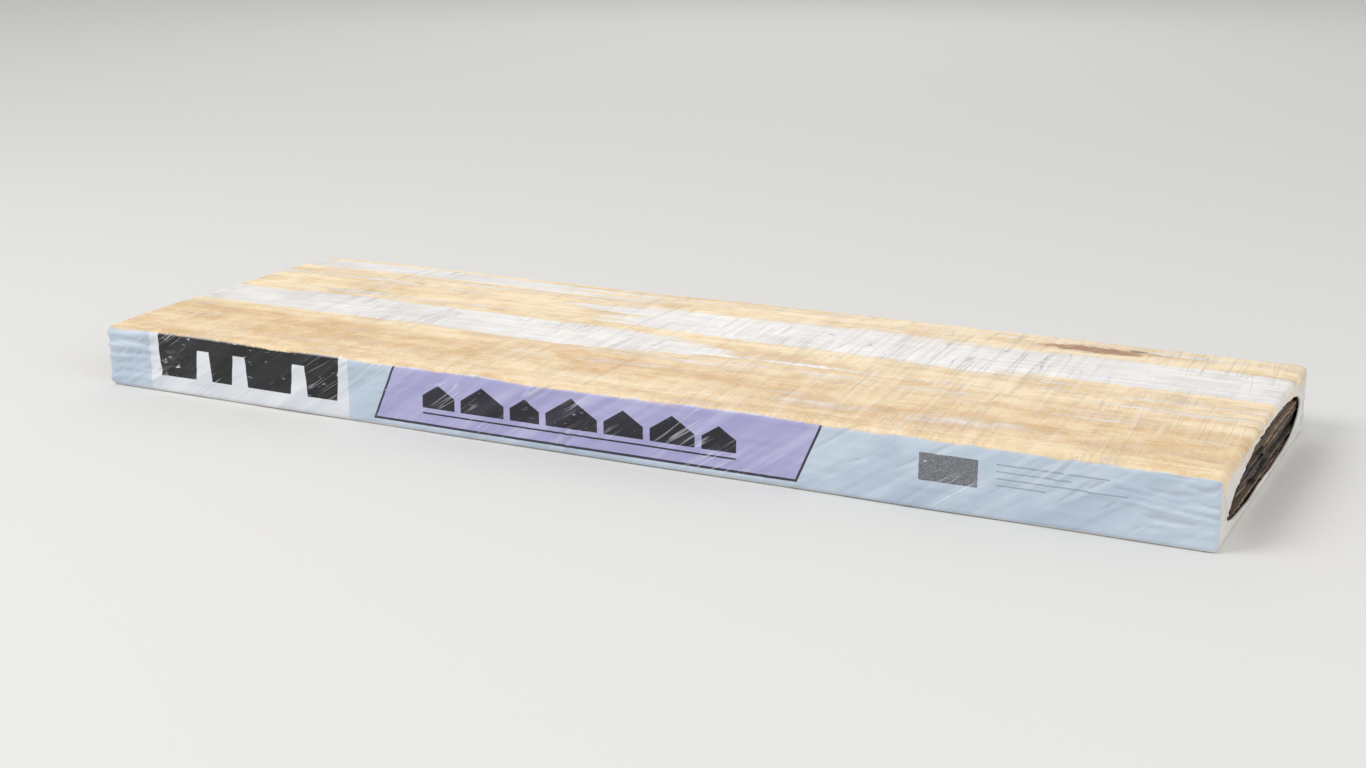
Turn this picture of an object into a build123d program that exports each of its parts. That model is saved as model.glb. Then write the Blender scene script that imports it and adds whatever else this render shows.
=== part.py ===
from build123d import *
import math
import os

# A wrapped bundle of laminated asphalt roof shingles. Millimetres, +Z up.
# X runs along the shingles and Y across them. The origin is under the middle of the bundle, on the face it lies on.
# The shingles lie face down and face up in turn. The two of a pair lie back to back, and their backing strips, one
# at the front and one at the back, share a layer, so the bundle stays level.

# Shingle: a full sheet with its backing strip bonded behind the lower half
shingle_count = 16
shingle_length = 1000.0
shingle_height = 337.0
sheet_thickness = 2.35
strip_gap = 7.0  # between the front and back strips of a pair
strip_lap = 22.0  # how far the strip reaches past the tabs, under the sheet

# Tabs and slots cut into the sheet's lower edge. The tabs narrow by the taper at each side of their free end.
tab_widths = (172.0, 118.0, 146.0, 96.0, 128.0)
slot_widths = (66.0, 80.0, 58.0, 74.0, 70.0)
tab_taper = 8.0
pattern_shift = 137.0  # from one shingle to the next, as they come off the line

# Stack: the air between layers, and how far a shingle may lie out of line with the rest
layer_gap = 0.08
end_jog = 2.6
side_jog = 1.4

# Shrink-film sleeve, and the room it leaves over, under and round the stack
film_thickness = 0.15
film_gap = 0.3
film_side_gap = 1.2
film_edge_radius = 1.5

# Lens-shaped opening that shrinking leaves at each end: the film left round it, and its outline
rim_side = 25.0
rim_over = 6.5
rim_under = 6.0
tip_height = 21.0
blunt_end_depth = 20.0
shoulder_drop = 9.0
opening_corner_radius = 8.0

pair_height = 3 * sheet_thickness + 2 * layer_gap
strip_height = (shingle_height - strip_gap) / 2
tab_height = strip_height - strip_lap


def rise(index):
    """How far the underside of the shingle of that index lies over the stack's underside."""
    pair, face_up = divmod(index, 2)
    return pair * pair_height + face_up * (sheet_thickness + layer_gap)


stack_height = rise(shingle_count - 1) + 2 * sheet_thickness
sleeve_length = shingle_length + 2 * (end_jog + film_side_gap + film_thickness)
sleeve_width = shingle_height + 2 * (side_jog + film_side_gap + film_thickness)
sleeve_height = stack_height + 2 * (film_gap + film_thickness)


def slots(shift):
    """Outlines of the slots between the tabs, from the sheet's left end and lower edge, with the pattern shifted."""
    found = []
    index = 0
    tab_start = -(shift % (sum(tab_widths) + sum(slot_widths)))
    while tab_start < shingle_length:
        left = tab_start + tab_widths[index % len(tab_widths)]
        right = left + slot_widths[index % len(slot_widths)]
        if right + tab_taper > 0 and left - tab_taper < shingle_length:
            mouth = [(left - tab_taper, 0), (right + tab_taper, 0)]
            found.append(mouth + [(right, tab_height), (left, tab_height)])
        tab_start = right
        index += 1
    return found


def shingle(shift):
    """One laminated shingle, face up, with its lower edge along -Y and its underside on z = 0."""
    corner = (-shingle_length / 2, -shingle_height / 2)
    sheet = Pos(*corner) * Rectangle(shingle_length, shingle_height, align=Align.MIN)
    for outline in slots(shift):
        sheet -= Pos(*corner) * make_face(Polyline(*outline, close=True))
    strip = Pos(*corner) * Rectangle(shingle_length, strip_height, align=Align.MIN)
    return extrude(Pos(0, 0, sheet_thickness) * sheet, sheet_thickness) + extrude(strip, sheet_thickness)


def placed(index):
    """The shingle of that index where it lies in the stack, a little out of line with its neighbours."""
    base = film_thickness + film_gap + rise(index)
    x = end_jog * math.sin(2.4 * index + 0.7)
    y = side_jog * math.cos(1.7 * index + 0.4)
    piece = shingle(index * pattern_shift)
    if index % 2:
        return Pos(x, y, base) * piece
    return Pos(x, y, base + 2 * sheet_thickness) * Rot(180, 0, 0) * piece


def opening():
    """The end opening's outline: X across the bundle and Y up, pointed at -X, blunt at +X, arched over the top."""
    half = sleeve_width / 2 - rim_side
    high = sleeve_height - rim_over
    tip = (-half, tip_height)
    blunt = (half, (high + rim_under) / 2)
    upper = (half - blunt_end_depth, high - shoulder_drop)
    lower = (half - blunt_end_depth, rim_under + shoulder_drop / 2)
    outline = Curve() + [
        ThreePointArc(tip, (0, high), upper),
        ThreePointArc(upper, blunt, lower),
        ThreePointArc(lower, (0, rim_under), tip),
    ]
    face = make_face(outline)
    return fillet(face.vertices(), opening_corner_radius)


def rounded_block(length, width, height, base, radius):
    """A box with all its edges rounded, standing on z = base."""
    solid = Pos(0, 0, base + height / 2) * Box(length, width, height)
    return fillet(solid.edges(), radius)


def wrapper():
    """The shrunk film sleeve: a thin closed skin, open at each end."""
    t = film_thickness
    skin = rounded_block(sleeve_length, sleeve_width, sleeve_height, 0, film_edge_radius + t)
    skin -= rounded_block(sleeve_length - 2 * t, sleeve_width - 2 * t, sleeve_height - 2 * t, t, film_edge_radius)
    depth = film_side_gap + t
    for end in (1, -1):
        inner = Plane(origin=(end * (sleeve_length / 2 - depth), 0, 0), x_dir=(0, end, 0), z_dir=(end, 0, 0))
        skin -= extrude(inner * opening(), 2 * depth)
    return skin


os.makedirs("parts", exist_ok=True)
for index in range(shingle_count):
    export_step(placed(index), f"parts/shingle_{index + 1:02d}.step")
export_step(wrapper(), "parts/wrapper.step")
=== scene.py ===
import bmesh
import bpy
import math
import numpy as np
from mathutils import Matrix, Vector


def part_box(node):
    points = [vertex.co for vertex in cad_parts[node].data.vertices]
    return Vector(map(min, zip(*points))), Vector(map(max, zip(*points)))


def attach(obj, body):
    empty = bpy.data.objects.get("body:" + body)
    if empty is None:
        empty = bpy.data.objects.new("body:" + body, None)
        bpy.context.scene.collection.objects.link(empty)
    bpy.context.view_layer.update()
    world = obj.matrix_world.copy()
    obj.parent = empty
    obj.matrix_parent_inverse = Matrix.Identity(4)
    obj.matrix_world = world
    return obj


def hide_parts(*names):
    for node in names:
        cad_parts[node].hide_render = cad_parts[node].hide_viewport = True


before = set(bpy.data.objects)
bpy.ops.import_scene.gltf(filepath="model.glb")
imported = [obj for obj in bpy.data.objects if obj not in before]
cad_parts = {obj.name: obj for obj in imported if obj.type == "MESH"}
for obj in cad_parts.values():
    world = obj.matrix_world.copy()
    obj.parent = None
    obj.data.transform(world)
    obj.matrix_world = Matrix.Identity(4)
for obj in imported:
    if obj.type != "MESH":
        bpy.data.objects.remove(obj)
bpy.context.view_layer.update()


# The shingles. Two layers of asphalt on glass mat, bonded together, with granules on the face and fine sand
# on the back. A chopper cuts them to length and leaves ragged ends of mat, asphalt and granules. They lie
# face down and face up in turn, so that their thick halves share the stack's height.
class Shade:
    """A value, vector or colour that varies over a surface. Sums on it add Math nodes to its material."""

    def __init__(self, tree, socket=None):
        self.tree = tree
        self.socket = socket

    def node(self, kind, settings=None, inputs=None, output=0):
        """Adds a node of that kind: its settings come first, then the values or links of its sockets."""
        made = self.tree.nodes.new(kind)
        for name, setting in (settings or {}).items():
            setattr(made, name, setting)
        for name, value in (inputs or {}).items():
            if isinstance(value, Shade):
                self.tree.links.new(value.socket, made.inputs[name])
            else:
                made.inputs[name].default_value = value
        return Shade(self.tree, made.outputs[output] if len(made.outputs) else None)

    def math(self, operation, *others):
        return self.node("ShaderNodeMath", {"operation": operation}, dict(enumerate((self,) + others)))

    def __add__(self, other):
        return self.math("ADD", other)

    def __radd__(self, other):
        return self.math("ADD", other)

    def __sub__(self, other):
        return self.math("SUBTRACT", other)

    def __rsub__(self, other):
        return self.node("ShaderNodeMath", {"operation": "SUBTRACT"}, {0: other, 1: self})

    def __mul__(self, other):
        return self.math("MULTIPLY", other)

    def __rmul__(self, other):
        return self.math("MULTIPLY", other)

    def __abs__(self):
        return self.math("ABSOLUTE")

    def most(self, other):
        return self.math("MAXIMUM", other)

    def ramp(self, low, high, start=0.0, end=1.0):
        """start below low, end above high, and a smooth change between them."""
        limits = {"Value": self, "From Min": low, "From Max": high, "To Min": start, "To Max": end}
        return self.node("ShaderNodeMapRange", {"interpolation_type": "SMOOTHSTEP"}, limits)

    def below(self, limit, soft):
        """1 under the limit and 0 over it, with an edge as wide as soft."""
        return self.ramp(limit - soft / 2, limit + soft / 2, 1.0, 0.0)

    def band(self, low, high, soft):
        """1 between low and high, with edges as wide as soft."""
        return self.ramp(low - soft / 2, low + soft / 2) * self.below(high, soft)

    def tint(self, under, over):
        """The colour under where this mask is 0, and over where it is 1."""
        settings = {"data_type": "RGBA", "clamp_factor": True}
        mixed = {"Factor": self, "A": under, "B": over}
        return self.node("ShaderNodeMix", settings, mixed, output="Result")

    def speckle(self, place, scale, detail=2.0, rough=0.5, stretch=(1, 1, 1)):
        """Noise from 0 to 1 at that many waves a metre, drawn out along an axis with a factor under 1."""
        there = self.node("ShaderNodeVectorMath", {"operation": "MULTIPLY"}, {0: place, 1: stretch})
        wave = {"Vector": there, "Scale": scale, "Detail": detail, "Roughness": rough}
        return self.node("ShaderNodeTexNoise", {}, wave)

    def hairline(self, width):
        """Thin lines where noise passes its middle value, which is 0.5."""
        return abs(self - 0.5).ramp(0.0, width, 1.0, 0.0)


def paint(red, green, blue):
    """The colour that shows as these 8-bit values on a screen."""
    shown = [value / 255 for value in (red, green, blue)]
    linear = [c / 12.92 if c < 0.04045 else ((c + 0.055) / 1.055) ** 2.4 for c in shown]
    return (*linear, 1.0)


def new_material(name):
    material = bpy.data.materials.new(name)
    material.use_nodes = True
    material.node_tree.nodes.clear()
    return material, Shade(material.node_tree)


def finish_material(colour, roughness, relief, depth, **constants):
    """Ends a material with a principled shader, with a bump of that depth in metres where relief is 1."""
    bump = colour.node("ShaderNodeBump", {}, {"Height": relief, "Distance": depth, "Strength": 1.0})
    sockets = {"Base Color": colour, "Roughness": roughness, "Normal": bump, **constants}
    shader = colour.node("ShaderNodeBsdfPrincipled", {}, sockets)
    colour.node("ShaderNodeOutputMaterial", {}, {"Surface": shader})


def add_piece(name, slot_name, mesh, material, *nodes):
    """Puts a mesh in the scene as a piece of the bundle that stands for the given nodes."""
    piece = bpy.data.objects.new(name, mesh)
    bpy.context.scene.collection.objects.link(piece)
    mesh.materials.append(material)
    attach(piece, "root")
    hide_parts(*nodes)
    return piece


swell_grid = 512


def swells(along, across, wave_along, wave_across, seed):
    """Smooth random heights from -1 to 1 over two coordinates, with waves of the given lengths."""
    heights = np.random.default_rng(seed).uniform(-1, 1, (swell_grid, swell_grid))
    places = [np.asarray(along) / wave_along, np.asarray(across) / wave_across]
    first = [np.floor(place).astype(int) for place in places]
    part = [place - start for place, start in zip(places, first)]
    ease = [p * p * (3 - 2 * p) for p in part]
    i, j = (start % swell_grid for start in first)
    i_next, j_next = (i + 1) % swell_grid, (j + 1) % swell_grid
    near = heights[i, j] * (1 - ease[0]) + heights[i_next, j] * ease[0]
    far = heights[i, j_next] * (1 - ease[0]) + heights[i_next, j_next] * ease[0]
    return near * (1 - ease[1]) + far * ease[1]


# The wrapped bundle's shape, which the shingles are pressed into: the film draws its edges and ends down
high_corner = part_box("wrapper")[1]
half_length, half_width, height = high_corner.x, high_corner.y, high_corner.z
crown_drop = 0.0018
end_droop = 0.0012
uneven = 0.0007
stack_press = 0.978
film_radius = 0.0048
end_radius = 0.0040
film_room = 0.0008
floor_room = 0.0005


def settle(x, y, z):
    """The height of a point in the wrapped bundle: crowned, drooping at the ends and a little uneven."""
    drop = crown_drop * np.abs(y / half_width) ** 4 + end_droop * np.abs(x / half_length) ** 10
    drop = drop + uneven * swells(x + 2, y + 2, 0.27, 0.35, 5)
    return z * (1 - drop / height)


def fall_back(beyond, radius):
    """How far a rounded edge has fallen back at each distance beyond its start."""
    return radius - np.sqrt(radius ** 2 - np.clip(beyond, 0, radius) ** 2)


def keep_in_film(x, y, z):
    """Y and Z of points once they are drawn in under the film's rounded edges."""
    end_inset = fall_back(np.abs(x) - (half_length - end_radius), end_radius)
    z = np.clip(z, end_inset + floor_room, height - film_room - end_inset)
    from_flat = np.maximum(film_radius - z, z - (height - film_radius))
    limit = half_width - film_room - fall_back(from_flat, film_radius)
    return np.clip(y, -limit, limit), z


to_mm = 1000


def shingle_material():
    """Black asphalt with granules and brown dust. The sanded back is a tan line, broad on a few."""
    material, sheet = new_material("asphalt_shingle")
    place = sheet.node("ShaderNodeTexCoord", output="Object")
    # The map holds how far the back's sand is smeared, and how deep a place lies, counted from the back
    depth_map = sheet.node("ShaderNodeUVMap", {"uv_map": "depth"})
    smeared = sheet.node("ShaderNodeSeparateXYZ", {}, {0: depth_map}, output="X")
    depth = sheet.node("ShaderNodeSeparateXYZ", {}, {0: depth_map}, output="Y") * to_mm
    dust = sheet.speckle(place, 60, 5, 0.6)
    grain = sheet.speckle(place, 1300, 3, 0.7)
    granule = sheet.speckle(place, 2100, 1, 0.5).ramp(0.6, 0.68)
    fibre = sheet.speckle(place, 520, 5, 0.75, (1, 0.42, 1.5))
    layer = sheet.speckle(place, 330, 2, 0.5, (0.02, 0.06, 1.0))
    colour = (dust * 0.6 + grain * 0.5).ramp(0.4, 0.8).tint(paint(27, 24, 22), paint(68, 58, 50))
    colour = fibre.ramp(0.54, 0.72).tint(colour, paint(116, 98, 80))
    colour = (layer.ramp(0.53, 0.64) * 0.8).tint(colour, paint(122, 103, 84))
    colour = (granule * 0.55).tint(colour, paint(128, 122, 116))
    back = (depth + (fibre - 0.5) * 1.1 - smeared * 1.7).ramp(0.15, 0.5, 1.0, 0.0)
    sanded = back * sheet.speckle(place, 26, 3, 0.6, (1, 1, 2.0)).ramp(0.32, 0.52).most(smeared)
    sand = (dust * 0.5 + grain * 0.5).ramp(0.35, 0.65).tint(paint(140, 110, 84), paint(196, 166, 134))
    colour = sanded.tint(colour, sand)
    shine = grain.ramp(0.3, 0.7, 0.78, 0.55)
    finish_material(colour, shine, grain * 0.6 + fibre * 0.4, 0.0010)
    return material


shingle_finish = shingle_material()
# Where a shingle's mesh is cut, so that its two ends can be shaped
end_rows = (0.0007, 0.0018, 0.0035, 0.007, 0.014, 0.03)
lens_half = half_width - 0.022
column_step = 0.0014
layer_cuts = (0.35, 0.68, 1.33, 1.66)
# The strips' gap in the solids, and the stretch over which the drawn strips close it
strip_edge = 0.0052
strip_stretch = 0.060
meeting_shift = 0.016
# The ragged ends: how far their waves and the cut's wear reach in, and how deep they go
waved_length = 0.02
wave_rise = 0.0005
cut_reach = 0.0012
cut_wear = 0.0005
chip_depth = 0.0006
pull_depth = 0.0007
edge_rounding = 0.0004
# How much the sand of the back is smeared over the cut, on the few shingles that show it
smears = {3: 0.75, 4: 0.35, 5: 1.0, 8: 0.7, 11: 0.4}


def cut_mesh(shape, places, axis):
    """Cuts a mesh across at each place along an axis, so that it has vertices to shape there."""
    across = Vector((axis == 0, axis == 1, axis == 2))
    for place in places:
        everything = shape.verts[:] + shape.edges[:] + shape.faces[:]
        bmesh.ops.bisect_plane(shape, geom=everything, plane_co=across * place, plane_no=across)


def shingle_mesh(name, node, index):
    """The shingle's mesh, with its two ends ragged and waved where the end openings show them."""
    low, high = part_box(node)
    thick = (high.z - low.z) / 2
    face_up = index % 2 == 1
    shape = bmesh.new()
    shape.from_mesh(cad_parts[node].data)
    bmesh.ops.remove_doubles(shape, verts=shape.verts, dist=0.00001)
    cut_mesh(shape, [low.x + row for row in end_rows] + [high.x - row for row in end_rows], 0)
    cut_mesh(shape, [low.z + thick * part for part in layer_cuts], 2)
    cut_mesh(shape, np.arange(-lens_half, lens_half, column_step), 1)
    bmesh.ops.recalc_face_normals(shape, faces=shape.faces)
    mesh = bpy.data.meshes.new(name)
    shape.to_mesh(mesh)
    shape.free()
    co = np.zeros(len(mesh.vertices) * 3)
    mesh.vertices.foreach_get("co", co)
    x, y, z = co.reshape(-1, 3).T
    depth = (z - low.z) if face_up else (high.z - z)
    side = np.sign(x)
    from_end = np.where(x > 0, high.x - x, x - low.x)
    at_end = np.clip(1 - from_end / waved_length, 0, 1)
    cut_edge = np.clip(1 - from_end / cut_reach, 0, 1)
    # Each end of each shingle has a lane of its own in the random heights
    lane = 1000 * side + 10 * index
    bow = swells(y, lane, 0.07, 1, 11)
    pull = swells(y, lane, 0.022, 1, 12)
    chips = swells(y + 2 * side, z, 0.0045, 0.0012, 13)
    edge_round = (2 * np.abs(np.mod(depth, thick) / thick - 0.5)) ** 4
    # The strips of a pair meet, each pair at its own place near the middle
    on_strip = depth > 0.9 * thick
    meeting = meeting_shift * math.sin(2.4 * (index // 2) + 1)
    near_middle = np.clip((strip_stretch - np.abs(y)) / (strip_stretch - strip_edge), 0, 1)
    y = np.where(on_strip & (np.abs(y) < strip_edge), y * 0.04, y) + on_strip * meeting * near_middle
    ragged = cut_wear + chip_depth * chips + pull_depth * pull + edge_rounding * edge_round
    x = x - side * cut_edge * ragged
    y, z = keep_in_film(x, y, (z + at_end * wave_rise * bow) * stack_press)
    z = settle(x, y, z)
    mesh.vertices.foreach_set("co", np.stack([x, y, z], 1).ravel())
    smeared = smears.get(index, 0.0) * (0.75 + 0.5 * swells(y, lane, 0.06, 1, 14))
    depth_map = mesh.uv_layers.new(name="depth")
    corner = np.zeros(len(mesh.loops), int)
    mesh.loops.foreach_get("vertex_index", corner)
    depth_map.data.foreach_set("uv", np.stack([smeared[corner], depth[corner]], 1).ravel())
    mesh.update()
    return mesh


shingle_nodes = sorted(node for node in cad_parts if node.startswith("shingle_"))
for index, node in enumerate(shingle_nodes):
    add_piece(f"{node}_sheet", "shingle", shingle_mesh(node, node, index), shingle_finish, node)


# The wrapper. A printed shrink-film sleeve, lapped and sealed under the bundle. The oven shrinks it tight:
# it crowns the bundle, gathers in folds at the corners and pulls back from each end to a lens-shaped
# opening with a thick rim.
lap = 0.025
seam_y = 0.045
rim_bead = 0.0012
rim_wander = 0.0011
cap_bulge = 0.0010
half_flat = half_width - film_radius
flat_top = 2 * half_flat
flat_side = height - 2 * film_radius
corner_arc = math.pi / 2 * film_radius
girth = 2 * (flat_top + flat_side) + 4 * corner_arc
# Going round from the middle of the front bottom corner: front side, top, back side, bottom
side_start = corner_arc / 2
side_end = side_start + flat_side
top_start = side_end + corner_arc
top_end = top_start + flat_top
back_start = top_end + corner_arc
back_end = back_start + flat_side
base_start = back_end + corner_arc
seam_start = -(side_start + half_flat + seam_y)
dice = np.random.default_rng(1907)


def smooth(low, high, value):
    """0 below low, 1 above high, and a smooth change between them."""
    part = np.clip((value - low) / (high - low), 0, 1)
    return part * part * (3 - 2 * part)


def spread(start, stop, step):
    """Evenly spaced places from start to just before stop, no further apart than step."""
    count = max(1, math.ceil((stop - start) / step))
    return start + (stop - start) * np.arange(count) / count


# How far apart the columns of the film's mesh lie: closest where it bends or shows most
base_step = 0.020
corner_step = 0.0014
front_step = 0.0017
top_step = 0.0044
back_step = 0.0024
around_film = np.concatenate([
    spread(seam_start, -side_start, base_step),
    spread(-side_start, side_start, corner_step),
    spread(side_start, side_end, front_step),
    spread(side_end, top_start, corner_step),
    spread(top_start, top_end, top_step),
    spread(top_end, back_start, corner_step),
    spread(back_start, back_end, back_step),
    spread(back_end, base_start, corner_step),
    spread(base_start, seam_start + girth + lap, base_step),
    [seam_start + girth + lap],
])
columns = len(around_film)


def section(around):
    """Y, Z and the outward normal of the sleeve's rounded section, at each distance around it."""
    s = np.mod(around + side_start, girth)
    y, z, ny, nz = (np.zeros_like(s) for _ in range(4))
    start = 0.0
    for corner, flat in enumerate((flat_side, flat_top, flat_side, flat_top)):
        centre_y = -half_flat if corner < 2 else half_flat
        centre_z = height - film_radius if corner in (1, 2) else film_radius
        first = math.pi * 1.5 - math.pi / 2 * corner
        last = first - math.pi / 2
        turn = first - math.pi / 2 * np.clip((s - start) / corner_arc, 0, 1)
        beyond = np.clip(s - start - corner_arc, 0, flat)
        here = s >= start
        y = np.where(here, centre_y + film_radius * np.cos(turn) + beyond * math.sin(last), y)
        z = np.where(here, centre_z + film_radius * np.sin(turn) - beyond * math.cos(last), z)
        ny = np.where(here, np.cos(turn), ny)
        nz = np.where(here, np.sin(turn), nz)
        start += corner_arc + flat
    return y, z, ny, nz


lens_side = 0.146
lens_low, lens_high = 0.0062, 0.0512
tip_z, blunt_z = 0.021, 0.029


def lens(turn, tip_side):
    """Y and Z of the end opening's outline at each angle: pointed on one side, blunt on the other."""
    across = np.cos(turn)
    blunt = smooth(-0.4, 0.4, across * -tip_side)
    middle = tip_z + (blunt_z - tip_z) * (1 - across * tip_side) / 2
    power = np.abs(across)
    arch = (1 - power ** (1.9 + 1.6 * blunt)) ** (0.85 - 0.3 * blunt)
    base = (1 - power ** 4) ** 0.55
    upper = middle + (lens_high - middle) * arch
    lower = middle - (middle - lens_low) * base
    return lens_side * across, np.where(np.sin(turn) > 0, upper, lower)


def rim_line(around, tip_side):
    """The point of the end opening's rim that the film at each distance round the sleeve reaches."""
    turn = np.linspace(0, 2 * math.pi, 4001)
    lens_y, lens_z = lens(turn, tip_side)
    length = np.concatenate([[0], np.cumsum(np.hypot(np.diff(lens_y), np.diff(lens_z)))])
    total = length[-1]
    # The lens's angles that the section's corners reach, from the front bottom corner over the top
    corner_turns = np.array([1.06, 0.95, 0.05, 1.94]) * math.pi
    reached = np.interp(corner_turns, turn, length)
    reached[3] -= total
    corners = [0, side_end + side_start, top_end + side_start, back_end + side_start, girth]
    reach = np.interp(np.mod(around, girth), corners, [*reached, reached[0] - total])
    reach = np.mod(reach, total)
    return np.interp(reach, length, lens_y), np.interp(reach, length, lens_z)


def creases(count, zone, length, width, rise, slant):
    """Random creases in a zone of the film: middle, direction, half length, half width and height."""
    middle_u = dice.uniform(*zone[0], count)
    middle_v = dice.uniform(*zone[1], count)
    angle = np.radians(dice.uniform(*slant, count))
    half = dice.uniform(*length, count) / 2
    wide = dice.uniform(*width, count)
    tall = dice.uniform(*rise, count)
    return list(zip(middle_u, middle_v, np.cos(angle), np.sin(angle), half, wide, tall))


def folded(u, v, lines):
    """The height that creases add at each place on the film: a ridge with a shallow valley beside it."""
    rise = np.zeros_like(u)
    for centre_u, centre_v, du, dv, half, wide, tall in lines:
        near = (np.abs(u - centre_u) < half + 3 * wide) & (np.abs(v - centre_v) < half + 3 * wide)
        along = (u[near] - centre_u) * du + (v[near] - centre_v) * dv
        off = ((u[near] - centre_u) * -dv + (v[near] - centre_v) * du) / wide
        taper = np.clip(1 - (along / half) ** 2, 0, 1)
        rise[near] += tall * taper * (np.exp(-off ** 2) - 0.6 * np.exp(-(off - 1.5) ** 2))
    return rise


body_half = half_length - end_radius
# The rows along the film lie closer over this length at both ends
close_length = 0.06
close_step = 0.0018
body_step = 0.0023
body_rows = np.concatenate([
    spread(-body_half, close_length - body_half, close_step),
    spread(close_length - body_half, body_half - close_length, body_step),
    spread(body_half - close_length, body_half, close_step),
    [body_half],
])
turn_rows = np.radians([18, 36, 54, 72, 90])
cap_rows = (0.07, 0.16, 0.26, 0.37, 0.49, 0.61, 0.72, 0.82, 0.91, 1.0)
bead_rows = np.radians([35, 70, 105, 140, 180, 225])
sec_y, sec_z, sec_ny, sec_nz = section(around_film)


def end_film(end):
    """The film's rows at one end: round the sleeve's edge, over the end and round the rim.

    A row is x, y, z, the outward normal, the unrolled length, and how far over the end it lies: 1 at the
    rim, and more round it.
    """
    rows = []
    for turn in turn_rows:
        inset = end_radius * (1 - math.cos(turn))
        x = end * (body_half + end_radius * math.sin(turn))
        normal = (end * math.sin(turn), sec_ny * math.cos(turn), sec_nz * math.cos(turn))
        unrolled = end * (body_half + end_radius * turn)
        rows.append((x, sec_y - sec_ny * inset, sec_z - sec_nz * inset, normal, unrolled, 0.0))
    outer_y, outer_z = sec_y - sec_ny * end_radius, sec_z - sec_nz * end_radius
    rim_y, rim_z = rim_line(around_film, -end)
    rim_z = rim_z + rim_wander * swells(rim_y, rim_z + end, 0.028, 0.03, 21) * np.sign(rim_z - blunt_z)
    reach = np.hypot(rim_y - outer_y, rim_z - outer_z)
    edge = body_half + end_radius * math.pi / 2
    for part in cap_rows:
        y = outer_y + (rim_y - outer_y) * part
        z = outer_z + (rim_z - outer_z) * part
        x = end * (half_length + cap_bulge * part ** 2)
        rows.append((x, y, z, (end, 0, 0), end * (edge + reach * part), part))
    inward_y, inward_z = (rim_y - outer_y) / reach, (rim_z - outer_z) / reach
    for turn in bead_rows:
        y = rim_y + inward_y * rim_bead * math.sin(turn)
        z = rim_z + inward_z * rim_bead * math.sin(turn)
        x = end * (half_length + cap_bulge - rim_bead * (1 - math.cos(turn)))
        normal = (end * math.cos(turn), inward_y * math.sin(turn), inward_z * math.sin(turn))
        rows.append((x, y, z, normal, end * (edge + reach + rim_bead * turn), 1 + turn / math.pi))
    return rows


pleat_width = 0.0078
pleat_rise = 0.0009
gather_rise = 0.0007


def film_folds(u, v, y, cap, on_top):
    """The height of the film's creases, pleats and gathers, which the print's wear and the darker valleys
    follow.
    """
    length = 2 * half_length
    rise = np.zeros_like(u)
    # Creases across the top, from the film's pull round the bundle
    top_zone = ((0.03, length - 0.03), (top_start + 0.01, top_end - 0.01))
    dense_zone = ((0.38, 0.88), (top_start + 0.05, top_end - 0.02))
    for zone, count in ((top_zone, 90), (dense_zone, 110)):
        crossing = creases(
            count, zone, length=(0.04, 0.22), width=(0.0018, 0.0034), rise=(0.0002, 0.0006), slant=(84, 96)
        )
        rise += on_top * folded(u, v, crossing)
    # Fans of creases that rise from the bottom edge of both sides, and folds along the sides at their ends
    for start, stop in ((side_start, side_end), (back_start, back_end)):
        for fan_start, fan_stop in ((0.0, 0.07), (0.24, 0.33), (0.44, 0.5), (0.64, 0.80), (0.88, length)):
            zone = ((fan_start, fan_stop), (start, stop))
            fan = creases(
                13, zone, length=(0.02, 0.08), width=(0.0014, 0.0026), rise=(0.0003, 0.0008), slant=(22, 46)
            )
            rise += folded(u, v, fan)
        for near, far in ((0.0, 0.05), (length - 0.05, length)):
            zone = ((near, far), (start, stop))
            lengthwise = creases(
                16, zone, length=(0.04, 0.15), width=(0.0016, 0.003), rise=(0.0003, 0.0009), slant=(-10, 10)
            )
            rise += folded(u, v, lengthwise)
    # Pleats that run over the top's two end edges
    for near, far in ((-0.004, 0.02), (length - 0.02, length + 0.004)):
        zone = ((near, far), (top_start, top_end))
        pleats = creases(
            60, zone, length=(0.02, 0.08), width=(0.0018, 0.0035), rise=(0.0003, 0.0007), slant=(-14, 14)
        )
        rise += folded(u, v, pleats)
    # Folds of the end film, which gather into the rim and stand highest beside the opening's two tips
    tip = smooth(0.10, 0.165, np.abs(y)) * smooth(0.0, 0.3, cap)
    pleat = np.sin(v * 2 * math.pi / pleat_width + 3 * swells(u, v, 0.02, 0.016, 35))
    gather = swells(u, v, 0.05, 0.0052, 36) * (0.5 + 0.5 * np.minimum(cap, 1))
    on_cap = smooth(0.0, 0.1, cap) * (1 - smooth(1.0, 1.6, cap))
    return rise + on_cap * (pleat_rise * tip * pleat * (1 - 0.5 * cap) + gather_rise * gather)


slow_rise = 0.0006
ripple_rise = 0.0003
layer_rise = 0.00035
deepest_valley = 0.0004
lap_step = 0.0004
lap_fade = 0.004
floor_gap = 0.0001


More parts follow.
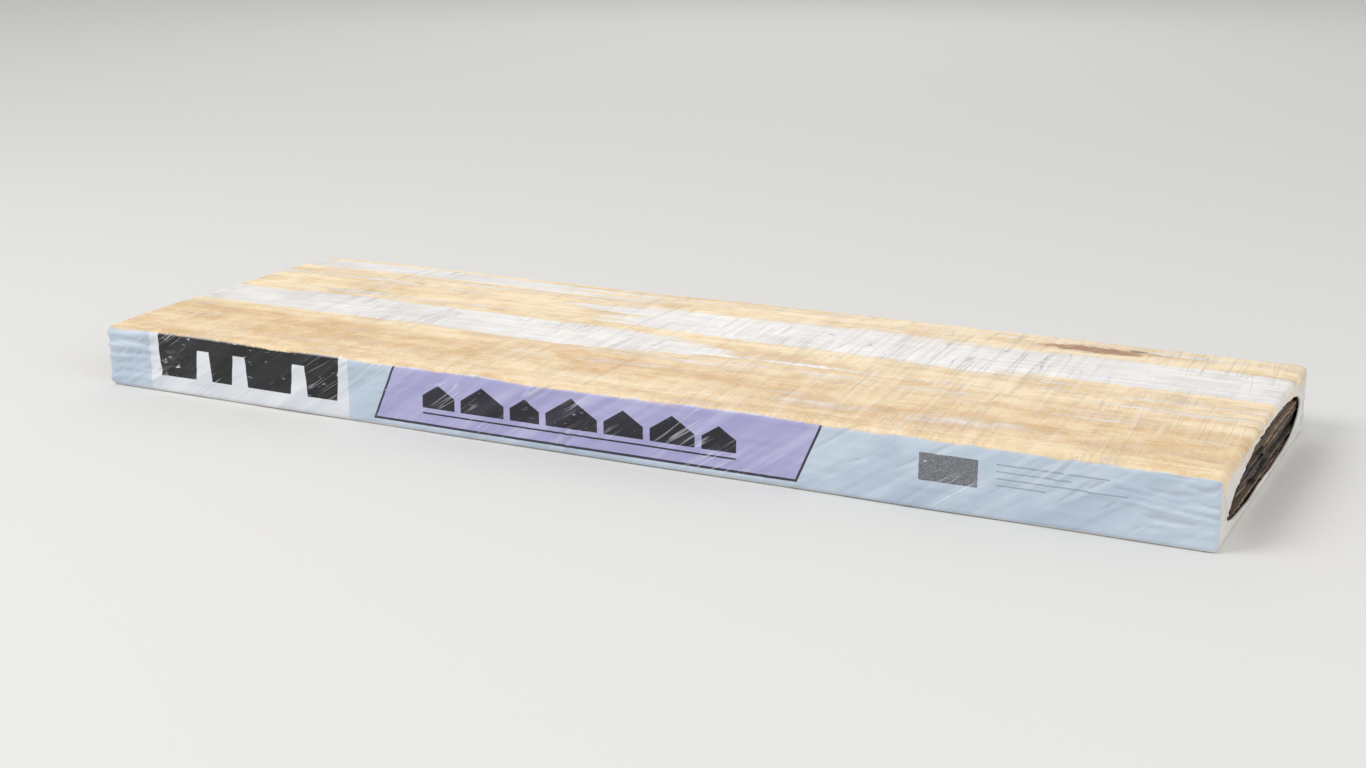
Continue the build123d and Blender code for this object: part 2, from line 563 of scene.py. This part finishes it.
def film_mesh():
    """The film's whole sheet: its rows from end to end, each from seam to seam round the bundle."""
    body = [(x, sec_y, sec_z, (0, sec_ny, sec_nz), x, 0.0) for x in body_rows]
    rows = end_film(-1)[::-1] + body + end_film(1)
    ones = np.ones(columns)
    x, y, z = (np.stack([row[k] * ones for row in rows]) for k in range(3))
    nx, ny, nz = (np.stack([row[3][k] * ones for row in rows]) for k in range(3))
    u = np.stack([row[4] * ones for row in rows]) + half_length
    cap = np.stack([row[5] * ones for row in rows])
    v = np.tile(around_film, (len(rows), 1))
    on_top = smooth(0.3, 0.8, nz)
    on_side = smooth(0.3, 0.8, np.abs(ny))
    under = smooth(0.3, 0.8, -nz)
    folds = film_folds(u, v, y, cap, on_top) * (1 - under)
    # Slow swells, and on the sides the edges of the layers behind the film
    top_swells = slow_rise * swells(u, v, 0.13, 0.08, 31) + ripple_rise * swells(u, v, 0.045, 0.017, 32)
    side_swells = slow_rise * swells(u, v, 0.10, 0.07, 33) + layer_rise * swells(u, v, 0.05, 0.0045, 34)
    rise = on_top * top_swells + on_side * side_swells
    rise = np.maximum(rise + folds, -deepest_valley)
    x, y, z = x + nx * rise, y + ny * rise, z + nz * rise
    # The lap under the bundle: the sheet's last edge lies over its first
    inner = smooth(lap + lap_fade, lap, v - seam_start) * under
    z = z + lap_step * inner
    z = np.maximum(settle(x, y, z), floor_gap * (1 - inner))
    mesh = bpy.data.meshes.new("wrapper_film")
    index = np.arange(x.size).reshape(x.shape)
    quads = np.stack([index[:-1, :-1], index[1:, :-1], index[1:, 1:], index[:-1, 1:]], -1).reshape(-1, 4)
    mesh.from_pydata(np.stack([x, y, z], -1).reshape(-1, 3), [], quads.tolist())
    for name, pair in (("unrolled", (u, v)), ("wear", (cap, folds * to_mm))):
        layer = mesh.uv_layers.new(name=name)
        layer.data.foreach_set("uv", np.stack([part.ravel()[quads.ravel()] for part in pair], 1).ravel())
    mesh.polygons.foreach_set("use_smooth", np.ones(len(quads), bool))
    mesh.update()
    return mesh


# The print's sizes, in millimetres, and its slopes
print_edge = 0.4
tab_gap = 13
tab_taper = 0.09
house_gap = 6
eaves = 33
roof_slope = 0.66


def shingle_drawing(u, v):
    """A plain drawing of a shingle: a strip with tapered tabs, cut off by the bundle's top edge."""
    drawing = u.band(60, 258, print_edge) * v.band(44, 66, print_edge)
    start = 60
    for width in (44, 27, 52, 36):
        narrowing = (44 - v) * tab_taper
        tab = (abs(u - (start + width / 2)) + narrowing).below(width / 2, print_edge)
        drawing = drawing.most(tab * v.band(16, 44.4, print_edge))
        start += width + tab_gap
    return drawing


def house_row(u, v):
    """A row of plain gabled houses, all of one roof pitch."""
    drawing = 0.0
    start = 344
    for half in (16, 21, 14, 24, 18, 20, 15):
        off = abs(u - (start + half))
        wall = off.below(half, print_edge)
        roof = (v + off * roof_slope).below(eaves + half * roof_slope, print_edge)
        drawing = (wall * roof * v.ramp(21.8, 22.2)).most(drawing)
        start += 2 * half + house_gap
    return drawing


def print_on(ground, u, v, worn, drawn_light_and_shade):
    """The long side's print, in millimetres from its left end and bottom edge: plain drawings and rules."""
    # Painted sheen: slanting streaks lighten the inks, the pale ground and the lavender, as if the film
    # caught the light
    painted_sheen = drawn_light_and_shade.ramp(0.42, 0.66)
    ink = painted_sheen.tint(paint(9, 10, 12), paint(38, 40, 45))
    pale_ground = painted_sheen.tint(paint(215, 220, 228), paint(232, 235, 239))
    colour = u.band(50, 268, 0.6).tint(ground, pale_ground)
    colour = (shingle_drawing(u, v) * worn).tint(colour, ink)
    # A lavender band with leaning ends and a dark outline, and the row of houses on it
    leaning = u - v * 0.42
    outline = leaning.band(291, 685, print_edge) * v.band(5.6, 80, print_edge)
    colour = (outline * worn).tint(colour, paint(54, 50, 64))
    lavender = painted_sheen.tint(paint(167, 165, 208), paint(189, 188, 223))
    inside = leaning.band(293.2, 682.8, print_edge) * v.band(7.8, 80, print_edge)
    colour = inside.tint(colour, lavender)
    dark_violet = painted_sheen.tint(paint(24, 21, 32), paint(50, 46, 60))
    street = u.band(344, 636, print_edge) * v.band(16.5, 18, print_edge)
    colour = (house_row(u, v).most(street) * worn).tint(colour, dark_violet)
    # Faint rules and one sample of the shingle's colour on the bare stretch
    grain = worn.speckle(worn.node("ShaderNodeTexCoord", output="Object"), 900, 2, 0.6)
    sample = u.band(786, 832, print_edge) * v.band(23, 45, print_edge) * worn
    granules = grain.ramp(0.35, 0.65).tint(paint(70, 70, 74), paint(128, 128, 132))
    colour = (sample * 0.9).tint(colour, granules)
    for rule_v, rule_end in ((43, 930), (37.5, 902), (32, 944), (26.5, 884)):
        rule = u.band(846, rule_end, print_edge) * v.band(rule_v, rule_v + 1.2, print_edge) * worn
        colour = (rule * 0.5).tint(colour, paint(112, 118, 130))
    return v.band(-3, 66, 1.0).tint(ground, colour)


def film_material():
    """Pale film, printed on its front side, under streaked tan dirt that rain has washed off in bands."""
    material, film = new_material("printed_shrink_film")
    place = film.node("ShaderNodeTexCoord", output="Object")
    unrolled = film.node("ShaderNodeUVMap", {"uv_map": "unrolled"})
    u = film.node("ShaderNodeSeparateXYZ", {}, {0: unrolled}, output="X") * to_mm
    v = film.node("ShaderNodeSeparateXYZ", {}, {0: unrolled}, output="Y") * to_mm
    # How far over the end a place lies, which is 0 on the body, and the height of its fold in millimetres
    wear = film.node("ShaderNodeUVMap", {"uv_map": "wear"})
    cap = film.node("ShaderNodeSeparateXYZ", {}, {0: wear}, output="X")
    fold = film.node("ShaderNodeSeparateXYZ", {}, {0: wear}, output="Y")
    up = film.node("ShaderNodeSeparateXYZ", {}, {0: place}, output="Z") * to_mm
    front_top = (side_end + side_start) * to_mm
    back_top = (top_end + side_start) * to_mm
    mottle = film.speckle(place, 16, 4, 0.6)
    fine = film.speckle(place, 700, 3, 0.6)
    streak = film.speckle(unrolled, 36, 7, 0.68, (0.09, 1, 1)).ramp(0.3, 0.7)
    thread = film.speckle(unrolled, 160, 5, 0.7, (0.07, 1, 1)).ramp(0.3, 0.7)
    patch = film.speckle(unrolled, 26, 6, 0.66, (0.45, 1, 1)).ramp(0.3, 0.7)
    run = film.speckle(unrolled, 62, 3, 0.6, (0.018, 1, 1)).ramp(0.34, 0.66)
    specks = film.speckle(place, 1100, 2, 0.8)
    broad = film.speckle(unrolled, 6, 3, 0.5, (0.5, 1, 1))
    across = v - front_top
    on_cap = cap.ramp(0.0, 0.06)
    # Clear film over white, warm where it is drawn over the ends. Painted shade: the long sides are darker
    # and bluer than the top, with slanting streaks of painted wrinkle shade over them.
    slant_across = v * 0.82 - u * 0.57
    slant_along = u * 0.82 + v * 0.57
    slanting = film.node("ShaderNodeCombineXYZ", {}, {0: slant_across, 1: slant_along * 0.06})
    drawn_light_and_shade = film.speckle(slanting, 0.06, 5, 0.65)
    side_shade_tone = (mottle * 0.4 + drawn_light_and_shade * 0.6).ramp(0.36, 0.64)
    shaded_side_colour = side_shade_tone.tint(paint(179, 195, 212), paint(203, 216, 230))
    top_tone = (mottle * 0.7 + thread * 0.3).ramp(0.3, 0.75)
    top_colour = top_tone.tint(paint(224, 220, 216), paint(249, 247, 243))
    end_colour = mottle.tint(paint(220, 218, 216), paint(234, 231, 226))
    upward = across.band(-1, back_top - front_top + 1, 3)
    scuffs = film.speckle(unrolled, 220, 6, 0.72, (0.35, 1, 1))
    ridge = fold.ramp(0.15, 0.6)
    worn = (scuffs + (mottle - 0.5) * 0.25 - ridge * 0.10).ramp(0.29, 0.37)
    colour = print_on(shaded_side_colour, u, v, worn, drawn_light_and_shade)
    sideways = v.band(0, front_top, 4) + v.band(back_top, back_top + front_top, 4)
    colour = sideways.tint(top_colour, colour)
    colour = cap.ramp(0.0, 0.2).tint(colour, end_colour)
    # Tan dirt: it covers the top but for washed bands, and its edge wanders along the front
    wander = across + (broad - 0.5) * 44
    place_u = u + (broad - 0.5) * 200 + (streak - 0.5) * 100
    washed = wander.band(126, 186, 22) * place_u.ramp(420, 560, 1.0, 0.0)
    washed = washed.most(wander.band(198, 276, 22) * place_u.ramp(320, 440))
    washed = washed.most(wander.band(292, 326, 18) * place_u.ramp(300, 440, 1.0, 0.0))
    cover = 1 - washed + (streak - 0.5) * 0.65 + (patch - 0.5) * 0.5 + (thread - 0.5) * 0.2
    cover = cover + (run - 0.62) * across.ramp(70, 130, 0.1, 0.85)
    edge_front = (across + (patch - 0.5) * 3 + (broad - 0.5) * 5 + (scuffs - 0.5) * 9).ramp(-2.0, 0.5)
    edge_back = (across + (patch - 0.5) * 16).ramp(338, 352, 1.0, 0.0)
    lying = cover.ramp(0.26, 0.84) * edge_front * edge_back
    end_dirt = (up + (patch - 0.5) * 16).ramp(34, 56) * cap.ramp(0.9, 1.0, 1.0, 0.0)
    under = v.ramp(-7, -3, 1.0, 0.0).most(v.ramp(back_top + front_top, back_top + front_top + 4))
    rubbed = under * (patch + streak - 1).ramp(0.0, 0.5) * 0.5
    stained = film.speckle(place, 8, 2, 0.5).ramp(0.38, 0.62, 0.4, 0.92)
    past_edge = cap.ramp(0.0, 0.4)
    amount = past_edge * end_dirt * stained + (1 - past_edge) * (lying * 0.95).most(rubbed * (1 - on_cap))
    blotch = film.speckle(place, 48, 6, 0.72).ramp(0.3, 0.7)
    streaky = streak * 0.34 + thread * 0.12 + patch * 0.26
    tone = (streaky + mottle * 0.3 + blotch * 0.24 + fine * 0.16).ramp(0.3, 1.04)
    # Palest at the back, with the deepest tan in a lane behind the front edge
    tone = tone + across.ramp(60, 220, -0.08, 0.14)
    tone = tone - (across + (broad - 0.5) * 30).band(46, 98, 24) * (0.08 + streak * 0.16)
    dirt = tone.tint(paint(214, 172, 114), paint(253, 232, 193))
    dirt = (specks.ramp(0.6, 0.7) * 0.45).tint(dirt, paint(160, 124, 86))
    pale_grains = film.speckle(place, 430, 2, 0.7).ramp(0.57, 0.66)
    dirt = (pale_grains * across.ramp(10, 90, 0.55, 0.2)).tint(dirt, paint(255, 243, 214))
    # A darker line where the water stood, along the washed bands
    tide = abs(cover - 0.6).ramp(0.0, 0.2, 1.0, 0.0) * 0.3
    dirt = tide.tint(dirt, paint(208, 170, 124))
    colour = amount.tint(colour, dirt)
    # Fine creases across the top and slanting ones on the long sides, coloured as painted shade and painted
    # glints:
    # dark lines on white film, pale glints over the tan, soft bands along the pulled ridges, pale slanting
    # glints
    leaning = film.node("ShaderNodeCombineXYZ", {}, {0: u + v * 0.06, 1: v * 0.05})
    dense = film.speckle(unrolled, 9, 3, 0.6).ramp(0.46, 0.6).most(u.band(600, 870, 150) * 0.8)
    dense = dense * upward * cap.ramp(0.0, 0.8, 1.0, 0.0)
    crossings = film.speckle(leaning, 0.085, 1.5, 0.5).hairline(0.016) * dense
    pulled = film.speckle(leaning, 0.12, 3, 0.6)
    # Painted shade and painted highlight: soft dark and pale bands along the pulled ridges on the top
    pulled_light_and_shade = dense * (1 - amount * 0.4)
    colour = (pulled.ramp(0.36, 0.5, 0.24, 0.0) * pulled_light_and_shade).tint(colour, paint(146, 140, 136))
    colour = (pulled.ramp(0.52, 0.64, 0.0, 0.3) * pulled_light_and_shade).tint(colour, paint(250, 248, 243))
    # Painted shade of the creases on white film, and painted glints where they cross the tan
    crease_glint_mix = amount * u.ramp(420, 640, 1.0, 0.4)
    crease_shade_and_glint = crease_glint_mix.tint(paint(138, 134, 134), paint(250, 245, 236))
    colour = (crossings * (0.55 - amount * 0.2)).tint(colour, crease_shade_and_glint)
    slants = film.speckle(slanting, 0.13, 1.5, 0.5).hairline(0.03)
    slants = slants * film.speckle(unrolled, 14, 3, 0.6).ramp(0.5, 0.62) * (1 - upward) * (1 - on_cap)
    # Painted glints: pale lines on the slanting creases of the long sides
    colour = (slants * 0.4).tint(colour, paint(236, 240, 246))
    # The lap's two seal lines under the bundle, and its free edge
    free_edge = (seam_start + girth + lap) * to_mm
    first_seal = v.band(free_edge - 19, free_edge - 16.5, 0.4)
    second_seal = v.band(free_edge - 9, free_edge - 6.5, 0.4)
    sealed = first_seal.most(second_seal) * (1 - on_cap)
    colour = (sealed * 0.45).tint(colour, paint(178, 182, 190))
    lapped = v.ramp(free_edge - 1.2, free_edge - 0.6) * 0.6 * (1 - on_cap)
    colour = lapped.tint(colour, paint(168, 168, 172))
    # Darker in the folds' valleys
    valley = fold.ramp(-0.35, -0.05, 1.0, 0.0)
    colour = (valley * (0.22 - on_cap * 0.14)).tint(colour, paint(138, 128, 118))
    # Rust-brown and dark spots on the top, and grey scuffs
    for spot_u, spot_y, long, short, deep, stain in (
        (838, 306, 52, 13, 0.8, paint(150, 96, 58)),
        (872, 316, 12, 5, 0.8, paint(86, 60, 44)),
        (745, 62, 3.5, 2.2, 0.9, paint(70, 56, 46)),
        (612, 250, 4.0, 2.5, 0.6, paint(110, 92, 80)),
        (406, 80, 26, 5, 0.5, paint(240, 234, 224)),
        (168, 262, 5, 2.5, 0.6, paint(120, 100, 84)),
    ):
        off_u = (u - spot_u) * (1 / long)
        off_v = (across - spot_y) * (1 / short)
        off = off_u * off_u + off_v * off_v + (patch - 0.5) * 1.2 + (scuffs - 0.5) * 5
        colour = (off.ramp(0.1, 1.1, 1.0, 0.0) * deep).tint(colour, stain)
    # The rim's rolled edge stays clean and pale
    colour = cap.ramp(0.94, 1.02).tint(colour, paint(238, 235, 229))
    shine = film.speckle(place, 90, 3, 0.6).ramp(0.3, 0.7, 0.28, 0.42) + amount * 0.26
    relief = fine * 0.4 + crossings * 0.8 + slants * 0.8 + thread * 0.2 - sealed * 0.8 + pulled * dense * 4
    finish_material(colour, shine, relief, 0.0003)
    return material


wrapper_film = add_piece("wrapper_film", "film", film_mesh(), film_material(), "wrapper")
girth + lap


# The studio, which is no part of the bundle: a pale floor, soft lamps, an even white world, and the camera
# at the photograph's viewing angle.
def lamp(name, place, size, power):
    light = bpy.data.lights.new(name, "AREA")
    light.shape = "DISK"
    light.size = size
    light.energy = power
    made = bpy.data.objects.new(name, light)
    made.location = place
    made.rotation_euler = (Vector((0, 0, 0)) - Vector(place)).to_track_quat("-Z", "Y").to_euler()
    bpy.context.scene.collection.objects.link(made)


lamp("key_lamp", place=(-1.6, -1.8, 2.6), size=2.0, power=52)
lamp("fill_lamp", place=(2.4, -1.0, 1.6), size=2.0, power=18)
lamp("back_lamp", place=(-1.4, 3.6, 2.1), size=2.4, power=14)

floor_half = 40
floor_corners = [(x * floor_half, y * floor_half, 0) for x, y in ((-1, -1), (1, -1), (1, 1), (-1, 1))]
floor_mesh = bpy.data.meshes.new("floor")
floor_mesh.from_pydata(floor_corners, [], [(0, 1, 2, 3)])
floor = bpy.data.objects.new("floor", floor_mesh)
bpy.context.scene.collection.objects.link(floor)
floor_finish, ground = new_material("pale_floor")
ground_inputs = {"Base Color": paint(226, 225, 222), "Roughness": 0.9}
ground_shader = ground.node("ShaderNodeBsdfPrincipled", {}, ground_inputs)
ground.node("ShaderNodeOutputMaterial", {}, {"Surface": ground_shader})
floor_mesh.materials.append(floor_finish)

world = bpy.data.worlds.new("studio")
bpy.context.scene.world = world
world.use_nodes = True
world.node_tree.nodes["Background"].inputs["Color"].default_value = (1.0, 1.0, 1.0, 1.0)
world.node_tree.nodes["Background"].inputs["Strength"].default_value = 0.62

camera_data = bpy.data.cameras.new("camera")
camera_data.lens = 52
camera = bpy.data.objects.new("camera", camera_data)
camera.location = (0.752, -1.504, 0.485)
camera.rotation_euler = (Vector((0.0, 0.0, 0.02)) - camera.location).to_track_quat("-Z", "Y").to_euler()
bpy.context.scene.collection.objects.link(camera)
bpy.context.scene.camera = camera
bpy.context.scene.view_settings.view_transform = "Standard"
